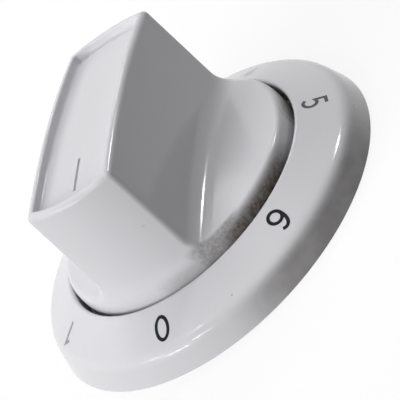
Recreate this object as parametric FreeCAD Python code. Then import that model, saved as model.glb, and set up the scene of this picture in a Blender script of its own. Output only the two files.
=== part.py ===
import FreeCAD, Part
import math
import os

# Oven control knob: a fixed numbered ring and a turning grip, lying on the back of the ring.
# Millimetres, +Z out of the front, origin at the centre of the back face, the zero mark towards +Y.

# Ring: outside form
ring_back_d = 60.0          # widest, at the back edge
ring_edge_d = 57.4          # outer edge of the numbered face
ring_edge_z = 3.9           # height of that edge above the panel
ring_edge_round = 2.6       # rounding of the outer edge
ring_bore_d = 43.1          # opening for the grip
ring_lip_z = 7.1            # height of the face at the opening
ring_lip_round = 0.45       # rounding of the inner lip

# Ring: moulded back
ring_skin = 1.8             # thickness under the numbered face
ring_outer_wall = 1.8       # thickness of the outer wall at the panel
ring_inner_wall = 1.5       # thickness of the wall round the opening
collar_overhang = 3.2       # how far the collar reaches in from the opening
collar_t = 1.4              # thickness of the collar
collar_z = 1.7              # underside of the collar above the panel
rib_count = 8               # places round the back, ribs and screw bosses together
rib_t = 1.0
boss_d = 5.2                # two bosses for the screws that hold the ring to the panel
boss_pitch = 51.2           # distance between the two screws
pilot_d = 2.4               # pilot hole for a 2.9 mm self-tapping screw
pilot_depth = 3.0
rib_root = 0.3              # how far ribs and bosses run into the walls around them

# Running gaps between the ring and the grip
rim_gap = 0.6               # the dark gap seen round the grip
run_gap = 0.3               # everywhere else that one passes the other

# Grip: outside form
top_z = 27.6                # highest point, middle of the bar
crown_drop = 1.15           # how much lower the top is at the ends of the bar
bar_w = 15.5                # width of the bar at its top
bar_l = 39.2                # length of the bar at its top, end to end
bar_draft = 0.020           # side walls, growth in half width per millimetre of depth
end_draft = 0.030           # end faces, growth in radius per millimetre of depth
flare_z = 11.0              # the end faces begin to flare out to the base here
skirt_z = 6.6               # and reach the upright skirt here
dome_mid_z = 10.5           # height of the base dome on the axis
dome_rim_z = 8.9            # height of the base dome at its rim
scoop_fillet = 2.8          # fillet between the side walls and the dome
flare_pull = 0.45           # share of the flare's height that stays nearly straight at each end
edge_round = 0.95           # rounding of the outer edges
border_w = 1.3              # width of the raised border round the top
border_round = 0.3          # rounding of that border's inner edge
recess_depth = 1.4          # depth of the top panel inside that border
recess_round = 0.5          # cove at the foot of that border and in its corners
mark_w = 0.5                # engraved pointer line
mark_l = 6.3
mark_depth = 0.35
mark_end = 3.7              # from the tip of the bar to the near end of the line

# Grip: moulded underside
grip_wall = 1.9
hub_d = 13.6
hub_z = 2.0                 # lower end of the hub above the panel
shaft_d = 6.0               # D shaft, across the round
shaft_flat = 4.6            # D shaft, across the flat
socket_slack = 0.03         # push fit of the socket on the shaft, each side
socket_depth = 15.0
socket_lead = 0.4           # lead-in at the mouth of the socket
web_t = 1.2                 # webs between the hub and the walls
web_z = 5.0                 # lower edge of the webs

# Snap hooks that keep the grip in the ring
hook_count = 4
hook_first = 45.0           # direction of the first hook, clear of the bar
hook_angle = 24.0           # width of a hook, degrees
hook_t = 1.2
hook_catch = 0.6            # reach of a hook under the collar
hook_head = 0.9             # height of a hook head
hook_lead = 0.4             # upright part of the head above its sloping lead-in

# Leaf spring in the socket
spring_t = 0.4
spring_w = 4.4
spring_l = 11.5
spring_bow = 0.65           # height of the bow towards the shaft
spring_side = 0.2           # play beside the spring in its slot
spring_tab = 1.7            # tab bent under the hub
spring_proud = 0.15         # how far the bow stands into the space of the shaft

# Sizes that follow from the ones above
ring_back_r = ring_back_d / 2
ring_edge_r = ring_edge_d / 2
ring_bore_r = ring_bore_d / 2
face_slope = (ring_lip_z - ring_edge_z) / (ring_edge_r - ring_bore_r)
collar_r = ring_bore_r - collar_overhang
collar_top = collar_z + collar_t
skirt_r = ring_bore_r - rim_gap
skirt_bottom = collar_top + run_gap
bar_r = bar_l / 2
flare_r = bar_r + end_draft * (top_z - flare_z)
dome_r = (skirt_r ** 2) / (2 * (dome_mid_z - dome_rim_z))
crown_r = (bar_r ** 2) / (2 * crown_drop)
hub_r = hub_d / 2
socket_r = shaft_d / 2 + socket_slack
socket_flat_y = shaft_flat - shaft_d / 2 + socket_slack
slot_back_y = socket_flat_y + spring_bow + spring_t - spring_proud
hook_r = collar_r - run_gap
far = 4 * ring_back_r       # length that is certain to pass right through
over_z = 2 * top_z          # height that is certain to be above everything

# Tolerances for finding edges by their place
near = 1e-4
smooth_angle = 14.0         # degrees; faces that meet at less than this run into each other


def V(x, y, z):
    return FreeCAD.Vector(x, y, z)


def turned(points):
    """Solid of revolution about Z from a closed outline of (radius, height) points."""
    wire = Part.makePolygon([V(r, 0, z) for r, z in points + points[:1]])
    return Part.Face(wire).revolve(V(0, 0, 0), V(0, 0, 1), 360)


def block(x0, x1, y0, y1, z0, z1):
    return Part.makeBox(x1 - x0, y1 - y0, z1 - z0, V(x0, y0, z0))


def about_z(shape, degrees):
    copy = shape.copy()
    copy.rotate(V(0, 0, 0), V(0, 0, 1), degrees)
    return copy


def face_z(r):
    """Height of the numbered face at a radius."""
    return ring_lip_z - face_slope * (r - ring_bore_r)


def middle(edge):
    return edge.valueAt((edge.FirstParameter + edge.LastParameter) / 2)


def circles_at(shape, r, z):
    """Edges of a turned shape that are full rings at this radius and height."""
    found = []
    for edge in shape.Edges:
        p = middle(edge)
        if abs(math.hypot(p.x, p.y) - r) < near and abs(p.z - z) < near:
            found.append(edge)
    return found


def make_dial_ring():
    inner_r = ring_bore_r + ring_inner_wall
    outer_r = ring_back_r - ring_outer_wall
    lean = (ring_back_r - ring_edge_r) / ring_edge_z
    # the outer wall and the underside of the face meet at this radius
    roof_apex = ring_lip_z - ring_skin + face_slope * ring_bore_r
    roof_r = (outer_r - lean * roof_apex) / (1 - lean * face_slope)
    ring = turned([
        (ring_back_r, 0), (ring_edge_r, ring_edge_z), (ring_bore_r, ring_lip_z),
        (ring_bore_r, collar_top), (collar_r, collar_top), (collar_r, collar_z),
        (ring_bore_r, collar_z), (ring_bore_r, 0), (inner_r, 0),
        (inner_r, face_z(inner_r) - ring_skin), (roof_r, face_z(roof_r) - ring_skin), (outer_r, 0),
    ])
    ring = ring.makeFillet(ring_edge_round, circles_at(ring, ring_edge_r, ring_edge_z))
    ring = ring.makeFillet(ring_lip_round, circles_at(ring, ring_bore_r, ring_lip_z))

    # ribs and bosses fill parts of the hollow back, so they are shaped by the hollow itself
    roof_lift = rib_root - ring_skin
    hollow = turned([
        (inner_r - rib_root, 0), (inner_r - rib_root, face_z(inner_r) + roof_lift),
        (roof_r + rib_root, face_z(roof_r) + roof_lift), (outer_r + rib_root, 0),
    ])
    step = 360.0 / rib_count
    for i in range(rib_count):
        if i % (rib_count // 2) == 0:
            filler = Part.makeCylinder(boss_d / 2, ring_lip_z, V(boss_pitch / 2, 0, 0))
        else:
            filler = block(collar_r, ring_back_r, -rib_t / 2, rib_t / 2, 0, ring_lip_z)
        ring = ring.fuse(about_z(filler, i * step).common(hollow))
    for side in (1, -1):
        ring = ring.cut(Part.makeCylinder(pilot_d / 2, pilot_depth, V(side * boss_pitch / 2, 0, 0)))
    return ring.removeSplitter()


def blank(inset):
    """Turned outline of the grip before it is cut away beside the bar, drawn in by an inset."""
    p_low = V(skirt_r - inset, 0, skirt_z)
    p_high = V(flare_r - inset, 0, flare_z)
    reach = (flare_z - skirt_z) * flare_pull
    flare = Part.BezierCurve()
    flare.setPoles([p_low, p_low + V(0, 0, reach), p_high + V(end_draft * reach, 0, -reach), p_high])
    p_top = V(bar_r - inset - end_draft * (over_z - top_z), 0, over_z)
    p_axis = V(0, 0, over_z)
    p_foot = V(0, 0, skirt_bottom)
    p_out = V(skirt_r - inset, 0, skirt_bottom)
    edges = [Part.makeLine(p_foot, p_out), Part.makeLine(p_out, p_low), flare.toShape(),
             Part.makeLine(p_high, p_top), Part.makeLine(p_top, p_axis), Part.makeLine(p_axis, p_foot)]
    return Part.Face(Part.Wire(edges)).revolve(V(0, 0, 0), V(0, 0, 1), 360)


def under_crown(drop):
    """Everything below the crowned top surface, lowered by a drop."""
    drum = Part.makeCylinder(crown_r, 2 * far, V(-far, 0, top_z - drop - crown_r), V(1, 0, 0))
    return drum.common(block(-far, far, -far, far, 0, over_z))


def bar_slab(inset):
    """Slab between the two drafted side walls of the bar, drawn in by an inset."""
    x0 = bar_w / 2 + bar_draft * top_z - inset
    x1 = bar_w / 2 + bar_draft * (top_z - over_z) - inset
    corners = [V(-x0, -far, 0), V(x0, -far, 0), V(x1, -far, over_z), V(-x1, -far, over_z)]
    return Part.Face(Part.makePolygon(corners + corners[:1])).extrude(V(0, 2 * far, 0))


def under_dome(drop):
    """Everything below the domed base, lowered by a drop; its seam lies under the bar."""
    return about_z(Part.makeSphere(dome_r, V(0, 0, dome_mid_z - drop - dome_r)), 90)


def scoop(side):
    """What is cut away beside the bar: an upright wall, a domed floor and the fillet between them."""
    outside = block(0, ring_back_r, -ring_back_r, ring_back_r, 0, over_z)
    tool = outside.cut(bar_slab(0)).cut(under_dome(0))
    wall_x = bar_w / 2 + bar_draft * (top_z - dome_mid_z)
    foot = [edge for edge in tool.Edges if (middle(edge) - V(wall_x, 0, dome_mid_z)).Length < scoop_fillet]
    tool = tool.makeFillet(scoop_fillet, foot)
    return tool if side > 0 else about_z(tool, 180)


def grip_outside():
    body = blank(0).common(under_crown(0))
    body = body.cut(scoop(1)).cut(scoop(-1))
    # every corner above the skirt is rounded; the lower edge of the skirt is left square
    corners = [edge for edge in body.Edges if edge.BoundBox.ZMin > skirt_z and is_corner(body, edge)]
    body = body.makeFillet(edge_round, corners)
    body = body.cut(top_recess())
    rim = [edge for edge in body.Edges if on_crown(middle(edge)) and is_corner(body, edge)]
    return body.makeFillet(border_round, rim)


def on_crown(p):
    """True for a point on the crowned top surface."""
    return abs(math.hypot(p.y, p.z - (top_z - crown_r)) - crown_r) < near


def is_corner(body, edge):
    """True where the two faces beside an edge meet at an angle."""
    faces = body.ancestorsOfType(edge, Part.Face)
    if len(faces) < 2:
        return False
    p = middle(edge)
    normals = []
    for face in faces[:2]:
        u, v = face.Surface.parameter(p)
        normals.append(face.normalAt(u, v))
    return normals[0].cross(normals[1]).Length > math.sin(math.radians(smooth_angle))


def grip_hollow():
    """The moulded hollow under the grip, less the hub and the webs."""
    base = Part.makeCylinder(skirt_r - grip_wall, top_z, V(0, 0, 0)).common(under_dome(grip_wall))
    bar = blank(grip_wall).common(bar_slab(grip_wall)).common(under_crown(recess_depth + grip_wall))
    hollow = base.fuse(bar)
    hollow = hollow.cut(Part.makeCylinder(hub_r, top_z, V(0, 0, 0)))
    hollow = hollow.cut(block(-web_t / 2, web_t / 2, -far, far, web_z, top_z))
    hollow = hollow.cut(block(-far, far, -web_t / 2, web_t / 2, web_z, top_z))
    return hollow


def top_recess():
    """What is sunk into the top of the bar inside its raised border."""
    above = block(-far, far, -far, far, 0, over_z)
    inside = blank(border_w).common(bar_slab(border_w))
    recess = inside.common(above.cut(under_crown(recess_depth)))
    foot = [edge for edge in recess.Edges if edge.BoundBox.ZMin < top_z]
    return recess.makeFillet(recess_round, foot)


def pointer_line():
    """The line engraved in the sunk panel."""
    tip = bar_r - mark_end
    line = block(-mark_w / 2, mark_w / 2, tip - mark_l, tip, 0, top_z)
    return line.cut(under_crown(recess_depth + mark_depth))


def shaft_socket():
    """D socket, its lead-in and the slot for the leaf spring, as one shape to cut out of the hub."""
    z0 = hub_z
    socket = Part.makeCylinder(socket_r, socket_depth, V(0, 0, z0))
    socket = socket.common(block(-far, far, -far, socket_flat_y, 0, top_z))
    lead = Part.makeCone(socket_r + socket_lead, socket_r, socket_lead, V(0, 0, z0))
    lead = lead.common(block(-far, far, -far, socket_flat_y, 0, top_z))
    half = spring_w / 2 + spring_side
    slot = block(-half, half, 0, slot_back_y, z0, z0 + spring_l + spring_t)
    return socket.fuse(lead).fuse(slot)


def snap_hook():
    """One springy leg with a hooked head that passes the collar and turns under it."""
    head_top = collar_z - run_gap
    head_low = head_top - hook_head
    catch_r = hook_r + run_gap + hook_catch
    root_z = dome_mid_z - grip_wall / 2 - hook_r ** 2 / (2 * dome_r)
    leg = turned([
        (hook_r - hook_t, head_low), (hook_r, head_low), (catch_r, head_top - hook_lead),
        (catch_r, head_top), (hook_r, head_top), (hook_r, root_z), (hook_r - hook_t, root_z),
    ])
    half = far * math.tan(math.radians(hook_angle / 2))
    wedge = Part.makePolygon([V(0, 0, 0), V(far, -half, 0), V(far, half, 0), V(0, 0, 0)])
    return leg.common(Part.Face(wedge).extrude(V(0, 0, top_z)))


def make_knob_grip():
    grip = grip_outside().cut(grip_hollow())
    grip = grip.fuse(Part.makeCylinder(hub_r, web_z + web_t - hub_z, V(0, 0, hub_z)))
    hook = snap_hook()
    for i in range(hook_count):
        grip = grip.fuse(about_z(hook, hook_first + i * 360.0 / hook_count))
    grip = grip.cut(pointer_line())
    grip = grip.cut(shaft_socket())
    return grip.removeSplitter()


def make_shaft_spring():
    """Bowed leaf that presses on the flat of the shaft, with a tab bent under the hub."""
    y_out = slot_back_y
    y_in = y_out - spring_t
    z0 = hub_z
    z1 = hub_z + spring_l
    z_mid = (z0 + z1) / 2
    tab_y = y_out + spring_tab
    outer = Part.Arc(V(0, y_out, z0), V(0, y_out - spring_bow, z_mid), V(0, y_out, z1)).toShape()
    inner = Part.Arc(V(0, y_in, z1), V(0, y_in - spring_bow, z_mid), V(0, y_in, z0)).toShape()
    edges = [
        outer,
        Part.makeLine(V(0, y_out, z1), V(0, y_in, z1)),
        inner,
        Part.makeLine(V(0, y_in, z0), V(0, y_in, z0 - spring_t)),
        Part.makeLine(V(0, y_in, z0 - spring_t), V(0, tab_y, z0 - spring_t)),
        Part.makeLine(V(0, tab_y, z0 - spring_t), V(0, tab_y, z0)),
        Part.makeLine(V(0, tab_y, z0), V(0, y_out, z0)),
    ]
    leaf = Part.Face(Part.Wire(edges)).extrude(V(spring_w, 0, 0))
    leaf.translate(V(-spring_w / 2, 0, 0))
    return leaf


os.makedirs("parts", exist_ok=True)
pieces = {
    "dial_ring": make_dial_ring(),
    "knob_grip": make_knob_grip(),
    "shaft_spring": make_shaft_spring(),
}
for name, shape in pieces.items():
    solid = shape.Solids[0] if len(shape.Solids) == 1 else shape
    solid.exportStep("parts/%s.step" % name)
    print(name, "solids", len(shape.Solids), "valid", shape.isValid(), "volume", round(shape.Volume, 1))
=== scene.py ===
"""Looks of an oven control knob: printed scale, plastic, steel, floor, lamps and camera."""

import math

import bpy
from mathutils import Matrix, Vector


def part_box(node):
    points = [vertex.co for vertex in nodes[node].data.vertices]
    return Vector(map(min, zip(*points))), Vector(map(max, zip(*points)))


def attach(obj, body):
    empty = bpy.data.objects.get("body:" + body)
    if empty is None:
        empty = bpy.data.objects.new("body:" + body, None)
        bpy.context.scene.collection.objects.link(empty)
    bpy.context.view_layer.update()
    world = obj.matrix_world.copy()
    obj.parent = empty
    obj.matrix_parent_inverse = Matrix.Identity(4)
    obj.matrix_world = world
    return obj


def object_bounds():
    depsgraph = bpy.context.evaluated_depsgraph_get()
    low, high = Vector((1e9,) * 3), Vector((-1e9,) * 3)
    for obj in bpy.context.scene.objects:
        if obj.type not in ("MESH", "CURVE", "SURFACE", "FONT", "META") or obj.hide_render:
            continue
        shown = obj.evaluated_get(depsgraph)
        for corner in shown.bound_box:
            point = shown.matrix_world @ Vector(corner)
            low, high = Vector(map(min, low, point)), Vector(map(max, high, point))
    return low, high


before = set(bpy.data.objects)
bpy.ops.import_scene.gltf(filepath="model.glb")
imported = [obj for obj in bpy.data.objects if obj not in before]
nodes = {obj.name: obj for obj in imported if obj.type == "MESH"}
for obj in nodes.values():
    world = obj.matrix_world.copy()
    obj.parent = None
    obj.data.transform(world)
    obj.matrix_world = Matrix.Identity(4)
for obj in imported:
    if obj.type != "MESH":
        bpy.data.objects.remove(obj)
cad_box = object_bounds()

MM = 0.001
ring_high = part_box("dial_ring")[1]
grip_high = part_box("knob_grip")[1]
ring_r = ring_high.x
ring_top = ring_high.z
grip_r = grip_high.x

# Printed scale: its digits, and how far the print stands above the ring's face and reaches into it
DIGIT_STEPS = 7
DIGIT_H = 3.9 * MM
DIGIT_W = 2.55 * MM
DIGIT_R = 0.842 * ring_r
STROKE = 0.52 * MM
INK_PROUD = 0.02 * MM
INK_SUNK = 0.04 * MM

# Strokes: the turn between two points of a curve, and the least cosine by which a corner is widened
CURVE_STEP = math.radians(6)
MITRE_LEAST = 0.5

# The scale starts at +Y, and its print lies a little off the ring's centre and is turned a little;
# angles in degrees
ZERO_ANGLE = 90
PRINT_SHIFT = Vector((0.48, 0.21)) * MM
PRINT_TURN = 0.64

# How far the print of each digit has worn from full black towards the plastic
PRINT_WEAR = {0: 0.0, 1: 0.35, 2: 0.20, 3: 0.10, 4: 0.70, 5: 0.10, 6: 0.0}

# Distances from the axis at which the height of the ring's sloping face is read
FACE_PROBE_IN = 0.77 * ring_r
FACE_PROBE_OUT = 0.90 * ring_r

# Colours
PLASTIC = (0.735, 0.731, 0.759)
# The dark colour below serves dirt and small marks, and also painted shade in the groove and on the
# shaded side of the ring's outer wall
GRIME_AND_SHADE = (0.070, 0.050, 0.036)
SCUFF = (0.42, 0.42, 0.43)
INK = (0.012, 0.012, 0.014)
STEEL = (0.62, 0.62, 0.63)
WHITE = (1.0, 1.0, 1.0)

# Sockets of the Mix node that take colours, and the one that gives the mixed colour
MIX_FIRST = 6
MIX_SECOND = 7
MIX_RESULT = 2

# Detail of noise that needs no more
PLAIN_DETAIL = 2.0

# Plastic: scales are lumps to the metre, spreads are the stretch of the noise that is used
TONE_SCALE = 55.0
TONE_SPREAD = (0.3, 0.7)
TONE_DARK = 0.972
SCRATCH_LUMPS = (2600.0, 90.0, 700.0)
SCRATCH_SPREAD = (0.66, 0.78)
SCRATCH_TINT = 0.10
GLOSS_SCALE = 160.0
GLOSS_DETAIL = 4.0
GLOSS_SPREAD = (0.25, 0.75)
GLOSS_ROUGH = (0.11, 0.18)
SCRATCH_ROUGH = 0.12
GRIME_AND_SHADE_ROUGH = 0.45
PLASTIC_IOR = 1.46
FLOW_MARKS = {"scale": 130.0, "depth": 0.03 * MM, "strength": 0.5}
FINE_GRAIN = {"scale": 3200.0, "depth": 0.004 * MM, "strength": 0.6}

# Small marks: where each lies, in ring radii from the middle of the back, its reach along X, Y and Z
# and its strength; a mark fades between these shares of its reach
RING_SPECK = (Vector((-0.382, 0.826, 0.151)) * ring_r, (0.22 * MM, 0.22 * MM, 0.22 * MM), 0.35)
GRIP_SCUFF = (Vector((-0.192, 0.635, 0.574)) * ring_r, (0.25 * MM, 1.0 * MM, 0.45 * MM), 0.14)
MARK_FADE = (0.4, 1.0)

# Dirt and painted shade are blotchy: the detail of the noise and the stretch of it that is used; each
# kind below has its own lumps to the metre and its thinnest share
BLOTCH_DETAIL = 6.0
BLOTCH_SPREAD = (0.35, 0.65)

# Dirt and painted shade round the axis: the angle each lies at, in degrees from +X, the cosines of the
# turn away from there between which it comes in, and its share outside and inside them
SKIRT_SECTORS = (
    # The first sector is dirt with painted shade low in the groove, the second is painted shade in the
    # groove's far side, the third is a light film of dirt
    {"angle": 145, "cosines": (0.86, 0.98), "shares": (0.04, 0.96)},
    {"angle": 207, "cosines": (0.92, 0.985), "shares": (0.0, 0.8)},
    {"angle": 118, "cosines": (0.86, 0.97), "shares": (0.0, 0.34)},
)
PATCH_SECTOR = {"angle": 123, "cosines": (0.965, 0.992), "shares": (0.0, 0.6)}
# A dark film on the side of the ring's outer wall away from the lamps: painted shade
SHADE_FILM_SECTOR = {"angle": 150, "cosines": (0.74, 0.97), "shares": (0.0, 0.58)}

# Dirt and painted shade on the grip: distances from the axis and heights between which they come in or go
# out
SKIRT_RADII = (grip_r - 1.35 * MM, grip_r - 0.35 * MM)
SKIRT_HEIGHTS = (ring_top + 0.65 * MM, ring_top + 2.45 * MM)
SKIRT_BLOTCHES = (1600.0, 0.84)
PATCH_RADII = (grip_r - 1.45 * MM, grip_r - 0.75 * MM)
PATCH_HEIGHTS = (ring_top + 2.35 * MM, ring_top + 3.55 * MM)
PATCH_BLOTCHES = (2200.0, 0.7)

# Dirt and painted shade on the ring: the same for its bore, from the collar up to the lip, and for its
# outer wall
BORE_RADII = (grip_r + 0.63 * MM, grip_r + 0.95 * MM)
BORE_FOOT = (ring_top - 4.05 * MM, ring_top - 3.75 * MM)
BORE_HEAD = (ring_top - 1.25 * MM, ring_top + 0.05 * MM)
BORE_BLOTCHES = (1600.0, 0.5)
WALL_RADII = (ring_r - 1.8 * MM, ring_r - 0.8 * MM)
WALL_BLOTCHES = (350.0, 0.82)

# Brushed steel
BRUSH_LUMPS = (8000.0, 300.0, 300.0)
BRUSH_DETAIL = 3.0
BRUSH_SPREAD = (0.2, 0.8)
BRUSH_ROUGH = (0.24, 0.42)
BRUSH_DEPTH = 0.005 * MM
BRUSH_STRENGTH = 0.5

# Print: patches of wear, then values of whole print and what full wear adds to each
INK_SCALE = 1800.0
INK_DETAIL = 4.0
INK_SPREAD = (0.3, 0.75)
INK_PATCHY = (0.01, 0.25)
INK_ROUGH = (0.5, -0.35)
INK_SHINE = (0.1, 0.4)

# Camera: angles as seen from the knob's axis, roll about the line of sight
CAMERA_AZIMUTH = 124.742
CAMERA_ELEVATION = 28.058
CAMERA_ROLL = -46.858
CAMERA_DISTANCE = 239.12 * MM
CAMERA_AIM = Vector((-0.506, -2.128, 2.739)) * MM
CAMERA_LENS = 144.0
CAMERA_SENSOR = 36.0
CAMERA_CLIP = 10 * MM

# Lamps: the way to each from the knob, in degrees from +X and above the floor, its distance, its width
# and height in metres, and the brightness it gives a white surface that faces it
LAMPS = {
    "key_light": (66, 24, 1.30, (2.40, 1.00), 0.87),
    "back_light": (-60, 60, 0.70, (0.50, 0.50), 0.46),
    "top_light": (0, 88, 0.70, (0.50, 0.50), 0.07),
    "edge_light": (-122, 42, 0.60, (0.07, 0.07), 0.18),
    "spot_light": (40, 63, 0.60, (0.05, 0.05), 0.03),
    "rim_light": (-78, 40, 0.60, (0.08, 0.08), 0.04),
    "window_left": (42, 26, 0.75, (0.12, 0.03), 0.06),
    "window_mid": (61, 17, 0.75, (0.18, 0.03), 0.12),
    "window_right": (75, 31, 0.75, (0.15, 0.03), 0.08),
}
# Images of these two wide lamps would cover the ring's edge and the dome, so they don't show in the gloss
NO_GLOSS = {"key_light", "back_light"}

# Floor: its width in metres, its own tone, and what lifts it to white where it is seen
FLOOR_SIZE = 6.0
FLOOR_TONE = 0.26
FLOOR_LIFT = 0.76


def node(tree, kind, wires=None, **settings):
    """A new shader node; each wire is a plain value or another node's output."""
    made = tree.nodes.new("ShaderNode" + kind)
    for name, value in settings.items():
        setattr(made, name, value)
    for name, value in (wires or {}).items():
        if isinstance(value, bpy.types.NodeSocket):
            tree.links.new(value, made.inputs[name])
        else:
            made.inputs[name].default_value = value
    return made


def calc(tree, operation, first, second):
    """The result of a sum on two values or outputs."""
    return node(tree, "Math", {0: first, 1: second}, operation=operation).outputs[0]


def product(tree, *shares):
    """Shares multiplied together."""
    result = shares[0]
    for share in shares[1:]:
        result = calc(tree, "MULTIPLY", result, share)
    return result


def greatest(tree, *shares):
    """The greatest of some shares."""
    result = shares[0]
    for share in shares[1:]:
        result = calc(tree, "MAXIMUM", result, share)
    return result


def ramp(tree, value, start, end, low=0.0, high=1.0):
    """A value eased from low to high while the input goes from start to end."""
    wires = {"Value": value, "From Min": start, "From Max": end, "To Min": low, "To Max": high}
    return node(tree, "MapRange", wires, interpolation_type="SMOOTHSTEP").outputs["Result"]


def fade(tree, value, start, end):
    """One that eases down to nothing while the input goes from start to end."""
    return ramp(tree, value, start, end, 1.0, 0.0)


def noise(tree, place, scale, detail=PLAIN_DETAIL):
    """Cloudy noise from 0 to 1, with the given number of lumps to the metre."""
    wires = {"Vector": place, "Scale": scale, "Detail": detail}
    return node(tree, "TexNoise", wires).outputs["Fac"]


def streaks(tree, place, lumps, detail=PLAIN_DETAIL):
    """Noise with its own number of lumps to the metre along each axis."""
    drawn = node(tree, "Mapping", {"Vector": place, "Scale": lumps}).outputs["Vector"]
    return noise(tree, drawn, 1.0, detail)


def vector_calc(tree, operation, *vectors):
    """The outputs of a sum on vectors, by name."""
    return node(tree, "VectorMath", dict(enumerate(vectors)), operation=operation).outputs


def blend(tree, amount, first, second):
    """A colour between two."""
    wires = {"Factor": amount, MIX_FIRST: first, MIX_SECOND: second}
    return node(tree, "Mix", wires, data_type="RGBA").outputs[MIX_RESULT]


def bump(tree, height, depth, strength, **under):
    """A surface's normal, roughened by a height, on top of another bump if one is given."""
    wires = {"Height": height, "Distance": depth, "Strength": strength, **under}
    return node(tree, "Bump", wires).outputs["Normal"]


def opaque(colour):
    """A colour with its alpha."""
    return (*colour, 1.0)


def new_material(name):
    """A material with its node tree and its shader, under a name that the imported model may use."""
    old = bpy.data.materials.get(name)
    if old:
        old.name = name + "_plain"
    material = bpy.data.materials.new(name)
    material.use_nodes = True
    return material, material.node_tree, material.node_tree.nodes["Principled BSDF"]


def dress(name, material):
    """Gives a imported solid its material."""
    nodes[name].data.materials.clear()
    nodes[name].data.materials.append(material)


def mark_mask(tree, place, centre, reach):
    """One inside a small oval mark, fading to nothing at its edge."""
    offset = vector_calc(tree, "SUBTRACT", place, centre)["Vector"]
    share = vector_calc(tree, "DIVIDE", offset, reach)["Vector"]
    return fade(tree, vector_calc(tree, "LENGTH", share)["Value"], *MARK_FADE)


def plastic(name, grime_and_shade_mask, marks):
    """Glossy moulded plastic, with dirt and painted shade where the mask says and a few small marks."""
    material, tree, shader = new_material(name)
    place = node(tree, "TexCoord").outputs["Object"]

    tone = ramp(tree, noise(tree, place, TONE_SCALE), *TONE_SPREAD)
    colour = blend(tree, tone, opaque(PLASTIC), opaque([TONE_DARK * share for share in PLASTIC]))
    scratches = ramp(tree, streaks(tree, place, SCRATCH_LUMPS), *SCRATCH_SPREAD)
    colour = blend(tree, product(tree, scratches, SCRATCH_TINT), colour, opaque(SCUFF))
    for centre, reach, strength in marks:
        mark = product(tree, mark_mask(tree, place, centre, reach), strength)
        colour = blend(tree, mark, colour, opaque(GRIME_AND_SHADE))
    # Here dirt and painted shade in the groove darken the colour
    grime_and_shade = grime_and_shade_mask(tree, place)
    colour = blend(tree, grime_and_shade, colour, opaque(GRIME_AND_SHADE))
    tree.links.new(colour, shader.inputs["Base Color"])

    rough = ramp(tree, noise(tree, place, GLOSS_SCALE, GLOSS_DETAIL), *GLOSS_SPREAD, *GLOSS_ROUGH)
    rough = calc(tree, "ADD", rough, product(tree, scratches, SCRATCH_ROUGH))
    rough = calc(tree, "ADD", rough, product(tree, grime_and_shade, GRIME_AND_SHADE_ROUGH))
    tree.links.new(rough, shader.inputs["Roughness"])
    shader.inputs["IOR"].default_value = PLASTIC_IOR

    flow = noise(tree, place, FLOW_MARKS["scale"])
    flow_normal = bump(tree, flow, FLOW_MARKS["depth"], FLOW_MARKS["strength"])
    grain = noise(tree, place, FINE_GRAIN["scale"])
    normal = bump(tree, grain, FINE_GRAIN["depth"], FINE_GRAIN["strength"], Normal=flow_normal)
    tree.links.new(normal, shader.inputs["Normal"])
    return material


def round_axis(tree, place):
    """A point's height, its distance from the turning axis, and its direction from the axis."""
    parts = node(tree, "SeparateXYZ", {"Vector": place}).outputs
    flat = node(tree, "CombineXYZ", {"X": parts["X"], "Y": parts["Y"]}).outputs["Vector"]
    radius = vector_calc(tree, "LENGTH", flat)["Value"]
    facing = vector_calc(tree, "NORMALIZE", flat)["Vector"]
    return parts["Z"], radius, facing


def sector(tree, facing, angle, cosines, shares):
    """A share that grows as a direction turns towards an angle round the axis."""
    turn = math.radians(angle)
    aim = (math.cos(turn), math.sin(turn), 0.0)
    return ramp(tree, vector_calc(tree, "DOT_PRODUCT", facing, aim)["Value"], *cosines, *shares)


def blotches(tree, place, scale, thin):
    """Uneven cover of dirt and painted shade, from a thin share up to full."""
    return ramp(tree, noise(tree, place, scale, BLOTCH_DETAIL), *BLOTCH_SPREAD, thin, 1.0)


def grip_grime_and_shade(tree, place):
    """Dirt and painted shade on the skirt of the grip, darkest low in the groove where shade falls, with
    a mottled patch of dirt up to its rim.
    """
    height, radius, facing = round_axis(tree, place)
    low = fade(tree, height, *SKIRT_HEIGHTS)
    outer = ramp(tree, radius, *SKIRT_RADII)
    worst = greatest(tree, *[sector(tree, facing, **part) for part in SKIRT_SECTORS])
    band = product(tree, low, outer, worst, blotches(tree, place, *SKIRT_BLOTCHES))
    under = fade(tree, height, *PATCH_HEIGHTS)
    rim = ramp(tree, radius, *PATCH_RADII)
    beside = sector(tree, facing, **PATCH_SECTOR)
    patch = product(tree, rim, under, beside, blotches(tree, place, *PATCH_BLOTCHES))
    return greatest(tree, band, patch)


def ring_grime_and_shade(tree, place):
    """Dirt and painted shade on the ring's bore below its lip, and painted shade as a thin dark film on
    one side of its outer wall.
    """
    height, radius, facing = round_axis(tree, place)
    inside = fade(tree, radius, *BORE_RADII)
    low = fade(tree, height, *BORE_HEAD)
    above = ramp(tree, height, *BORE_FOOT)
    bore = product(tree, inside, low, above, blotches(tree, place, *BORE_BLOTCHES))
    # Painted shade: a darker film on the side of the outer wall away from the lamps
    outside = ramp(tree, radius, *WALL_RADII)
    side = sector(tree, facing, **SHADE_FILM_SECTOR)
    shade_film = product(tree, outside, side, blotches(tree, place, *WALL_BLOTCHES))
    return calc(tree, "ADD", bore, shade_film)


def steel(name):
    """Brushed spring steel."""
    material, tree, shader = new_material(name)
    place = node(tree, "TexCoord").outputs["Object"]
    brushed = streaks(tree, place, BRUSH_LUMPS, BRUSH_DETAIL)
    shader.inputs["Base Color"].default_value = opaque(STEEL)
    shader.inputs["Metallic"].default_value = 1.0
    tree.links.new(ramp(tree, brushed, *BRUSH_SPREAD, *BRUSH_ROUGH), shader.inputs["Roughness"])
    tree.links.new(bump(tree, brushed, BRUSH_DEPTH, BRUSH_STRENGTH), shader.inputs["Normal"])
    return material


def worn(value, wear):
    """A value of whole print, with its share of what full wear adds."""
    whole, added = value
    return whole + added * wear


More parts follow.
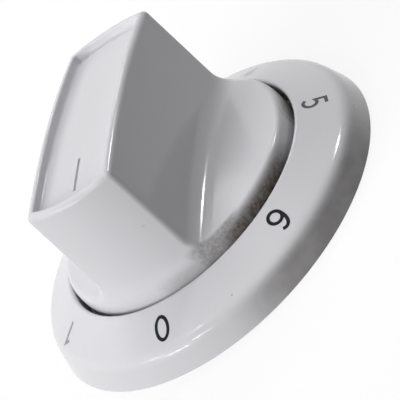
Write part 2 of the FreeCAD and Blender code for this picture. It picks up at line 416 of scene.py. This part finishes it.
def ink(name, wear):
    """Matt pad print, greyer, patchier and glossier where it has worn down to the plastic."""
    material, tree, shader = new_material(name)
    place = node(tree, "TexCoord").outputs["Object"]
    patches = ramp(tree, noise(tree, place, INK_SCALE, INK_DETAIL), *INK_SPREAD)
    amount = calc(tree, "ADD", product(tree, patches, worn(INK_PATCHY, wear)), wear)
    tree.links.new(blend(tree, amount, opaque(INK), opaque(PLASTIC)), shader.inputs["Base Color"])
    shader.inputs["Roughness"].default_value = worn(INK_ROUGH, wear)
    shader.inputs["Specular IOR Level"].default_value = worn(INK_SHINE, wear)
    return material


def arc(centre, radii, start, end):
    """Points of an elliptic arc, angles in degrees, in steps that keep it smooth."""
    first, last = math.radians(start), math.radians(end)
    count = max(2, math.ceil(abs(last - first) / CURVE_STEP))
    turns = [first + (last - first) * i / count for i in range(count + 1)]
    return [(centre[0] + radii[0] * math.cos(a), centre[1] + radii[1] * math.sin(a)) for a in turns]


def digit_strokes(digit):
    """Centre lines of a digit's strokes about its middle, each with whether it closes on itself.

    Places are shares of half the digit's width and height.
    """
    wide = (DIGIT_W - STROKE) / 2
    high = (DIGIT_H - STROKE) / 2
    if digit == 0:
        return [(arc((0, 0), (wide, high), 0, 360)[:-1], True)]
    if digit == 1:
        stem_x = 0.15 * wide
        return [([(-0.75 * wide, 0.58 * high), (stem_x, high), (stem_x, -high)], False)]
    if digit == 2:
        bow_r = 0.92 * wide
        bow = arc((0, high - bow_r), (bow_r, bow_r), 165, -40)
        return [(bow + [(-wide, -high), (wide, -high)], False)]
    if digit == 3:
        upper_r = 0.86 * wide
        lower_r = (high - upper_r + 0.9 * high) / 2 * 0.92
        upper = arc((0, high - upper_r), (upper_r, upper_r), 150, -72)
        lower = arc((0, lower_r - high), (wide, lower_r), 82, -152)
        return [(upper, False), (lower, False)]
    if digit == 4:
        bar_y = -0.42 * high
        stem_x = 0.42 * wide
        slope = [(0.25 * wide, high), (-wide, bar_y), (wide, bar_y)]
        return [(slope, False), ([(stem_x, 0.12 * high), (stem_x, -high)], False)]
    bowl_y = wide - high
    if digit == 5:
        bowl = arc((-0.05 * wide, bowl_y), (wide, wide), 128, -142)
        return [([(0.78 * wide, high), (-0.62 * wide, high)] + bowl, False)]
    tail = arc((0.35 * wide, bowl_y), (1.35 * wide, 2 * high - wide), 62, 180)
    return [(tail + arc((0, bowl_y), (wide, wide), 180, 540)[1:], False)]


def ribbon_sides(path, closed):
    """Left and right edges of a stroke along a centre line."""
    points = [Vector(p) for p in path]
    count = len(points)
    left, right = [], []
    for i, point in enumerate(points):
        before = points[i - 1] if i or closed else None
        after = points[(i + 1) % count] if i < count - 1 or closed else None
        runs = [b - a for a, b in ((before, point), (point, after)) if a is not None and b is not None]
        runs = [run.normalized() for run in runs]
        along = (runs[0] + runs[-1]).normalized()
        across = Vector((-along.y, along.x)) * (STROKE / 2 / max(MITRE_LEAST, along.dot(runs[0])))
        left.append(point + across)
        right.append(point - across)
    return left, right


def probe(radius):
    """Height of the ring's face on the +Y side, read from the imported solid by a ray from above."""
    _, place, _, _ = nodes["dial_ring"].ray_cast((0.0, radius, cad_box[1].z), (0.0, 0.0, -1.0))
    return place.z


# The ring's face: its height at the inner probe, its rise for each metre outwards, and its slope
FACE_Z_IN = probe(FACE_PROBE_IN)
FACE_RISE = (probe(FACE_PROBE_OUT) - FACE_Z_IN) / (FACE_PROBE_OUT - FACE_PROBE_IN)
FACE_SLOPE = math.atan(-FACE_RISE)


def on_face(flat, turn, proud):
    """A point of a digit's drawing, laid on the ring's sloping face with its top outwards."""
    out = Vector((math.cos(turn), math.sin(turn)))
    across = Vector((out.y, -out.x))
    spot = PRINT_SHIFT + out * (DIGIT_R + flat.y * math.cos(FACE_SLOPE)) + across * flat.x
    face_z = FACE_Z_IN + FACE_RISE * (spot.length - FACE_PROBE_IN)
    lean = spot.normalized() * math.sin(FACE_SLOPE) * proud
    return (*(spot + lean), face_z + math.cos(FACE_SLOPE) * proud)


def add_stroke(points, faces, path, closed, turn):
    """Adds one stroke of print as a thin closed strip, with four corners to each section."""
    left, right = ribbon_sides(path, closed)
    corners = 4
    start = len(points)
    for a, b in zip(left, right):
        points += [on_face(a, turn, INK_PROUD), on_face(b, turn, INK_PROUD)]
        points += [on_face(b, turn, -INK_SUNK), on_face(a, turn, -INK_SUNK)]
    count = len(left)
    for i in range(count if closed else count - 1):
        here = start + corners * i
        there = start + corners * ((i + 1) % count)
        for corner in range(corners):
            after = (corner + 1) % corners
            faces.append((here + corner, here + after, there + after, there + corner))
    if not closed:
        last = start + corners * (count - 1)
        faces.append((start + 3, start + 2, start + 1, start))
        faces.append((last, last + 1, last + 2, last + 3))


def new_object(name, data):
    """An object of a mesh, lamp or camera, put in the scene."""
    made = bpy.data.objects.new(name, data)
    bpy.context.scene.collection.objects.link(made)
    return made


def make_digit(digit):
    """One printed digit of the scale, riding on the ring."""
    turn = math.radians(ZERO_ANGLE + PRINT_TURN - digit * 360 / DIGIT_STEPS)
    points, faces = [], []
    for path, closed in digit_strokes(digit):
        add_stroke(points, faces, path, closed, turn)
    mesh = bpy.data.meshes.new(f"digit_{digit}")
    mesh.from_pydata(points, [], faces)
    mesh.update()
    mesh.materials.append(ink(f"ink_{digit}", PRINT_WEAR[digit]))
    piece = new_object(f"digit_{digit}", mesh)
    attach(piece, "dial")


def background_rays(tree):
    """One for rays that show the background: seen straight, in a gloss or through glass."""
    path = node(tree, "LightPath").outputs
    return greatest(tree, path["Is Camera Ray"], path["Is Glossy Ray"], path["Is Transmission Ray"])


def make_floor():
    """A plain pale floor under the knob that keeps its shadow."""
    half = FLOOR_SIZE / 2
    z = cad_box[0].z
    mesh = bpy.data.meshes.new("floor")
    corners = [(-half, -half, z), (half, -half, z), (half, half, z), (-half, half, z)]
    mesh.from_pydata(corners, [], [(0, 1, 2, 3)])
    material, tree, shader = new_material("floor")
    tree.nodes.remove(shader)
    matt = node(tree, "BsdfDiffuse", {"Color": opaque([FLOOR_TONE] * 3)})
    glow = node(tree, "Emission", {"Strength": product(tree, background_rays(tree), FLOOR_LIFT)})
    both = node(tree, "AddShader", {0: matt.outputs[0], 1: glow.outputs[0]})
    tree.links.new(both.outputs[0], tree.nodes["Material Output"].inputs["Surface"])
    mesh.materials.append(material)
    floor = new_object("floor", mesh)


def make_world():
    """White where it is seen, with no light of its own on the knob."""
    world = bpy.data.worlds.new("studio")
    world.use_nodes = True
    tree = world.node_tree
    back = tree.nodes["Background"]
    back.inputs["Color"].default_value = opaque(WHITE)
    tree.links.new(background_rays(tree), back.inputs["Strength"])
    bpy.context.scene.world = world


def direction(azimuth, elevation):
    """The way out from the knob at two angles in degrees."""
    turn, rise = math.radians(azimuth), math.radians(elevation)
    return Vector((math.cos(turn) * math.cos(rise), math.sin(turn) * math.cos(rise), math.sin(rise)))


def make_lamp(name, azimuth, elevation, distance, size, level):
    """A lamp facing the knob's middle, with the power that gives it its level there."""
    data = bpy.data.lights.new(name, "AREA")
    data.shape = "RECTANGLE"
    data.size, data.size_y = size
    data.energy = level * math.pi ** 2 * distance ** 2
    lamp = new_object(name, data)
    lamp.visible_glossy = name not in NO_GLOSS
    out = direction(azimuth, elevation)
    lamp.location = (cad_box[0] + cad_box[1]) / 2 + out * distance
    lamp.rotation_mode = "QUATERNION"
    lamp.rotation_quaternion = (-out).to_track_quat("-Z", "Y")


def make_camera():
    """The camera at the photograph's viewing angle."""
    back = direction(CAMERA_AZIMUTH, CAMERA_ELEVATION)
    level = Vector((0.0, 0.0, 1.0)).cross(back).normalized()
    upright = back.cross(level)
    roll = math.radians(CAMERA_ROLL)
    right = level * math.cos(roll) + upright * math.sin(roll)
    up = upright * math.cos(roll) - level * math.sin(roll)
    data = bpy.data.cameras.new("camera")
    data.lens = CAMERA_LENS
    data.sensor_width = CAMERA_SENSOR
    data.clip_start = CAMERA_CLIP
    camera = new_object("camera", data)
    turn = Matrix((right, up, back)).transposed().to_4x4()
    camera.matrix_world = Matrix.Translation(CAMERA_AIM + back * CAMERA_DISTANCE) @ turn
    bpy.context.scene.camera = camera


dress("dial_ring", plastic("ring_plastic", ring_grime_and_shade, [RING_SPECK]))
dress("knob_grip", plastic("grip_plastic", grip_grime_and_shade, [GRIP_SCUFF]))
dress("shaft_spring", steel("spring_steel"))
for digit in range(DIGIT_STEPS):
    make_digit(digit)

make_floor()
make_world()
for name, lamp in LAMPS.items():
    make_lamp(name, *lamp)
make_camera()
bpy.context.scene.view_settings.view_transform = "Standard"
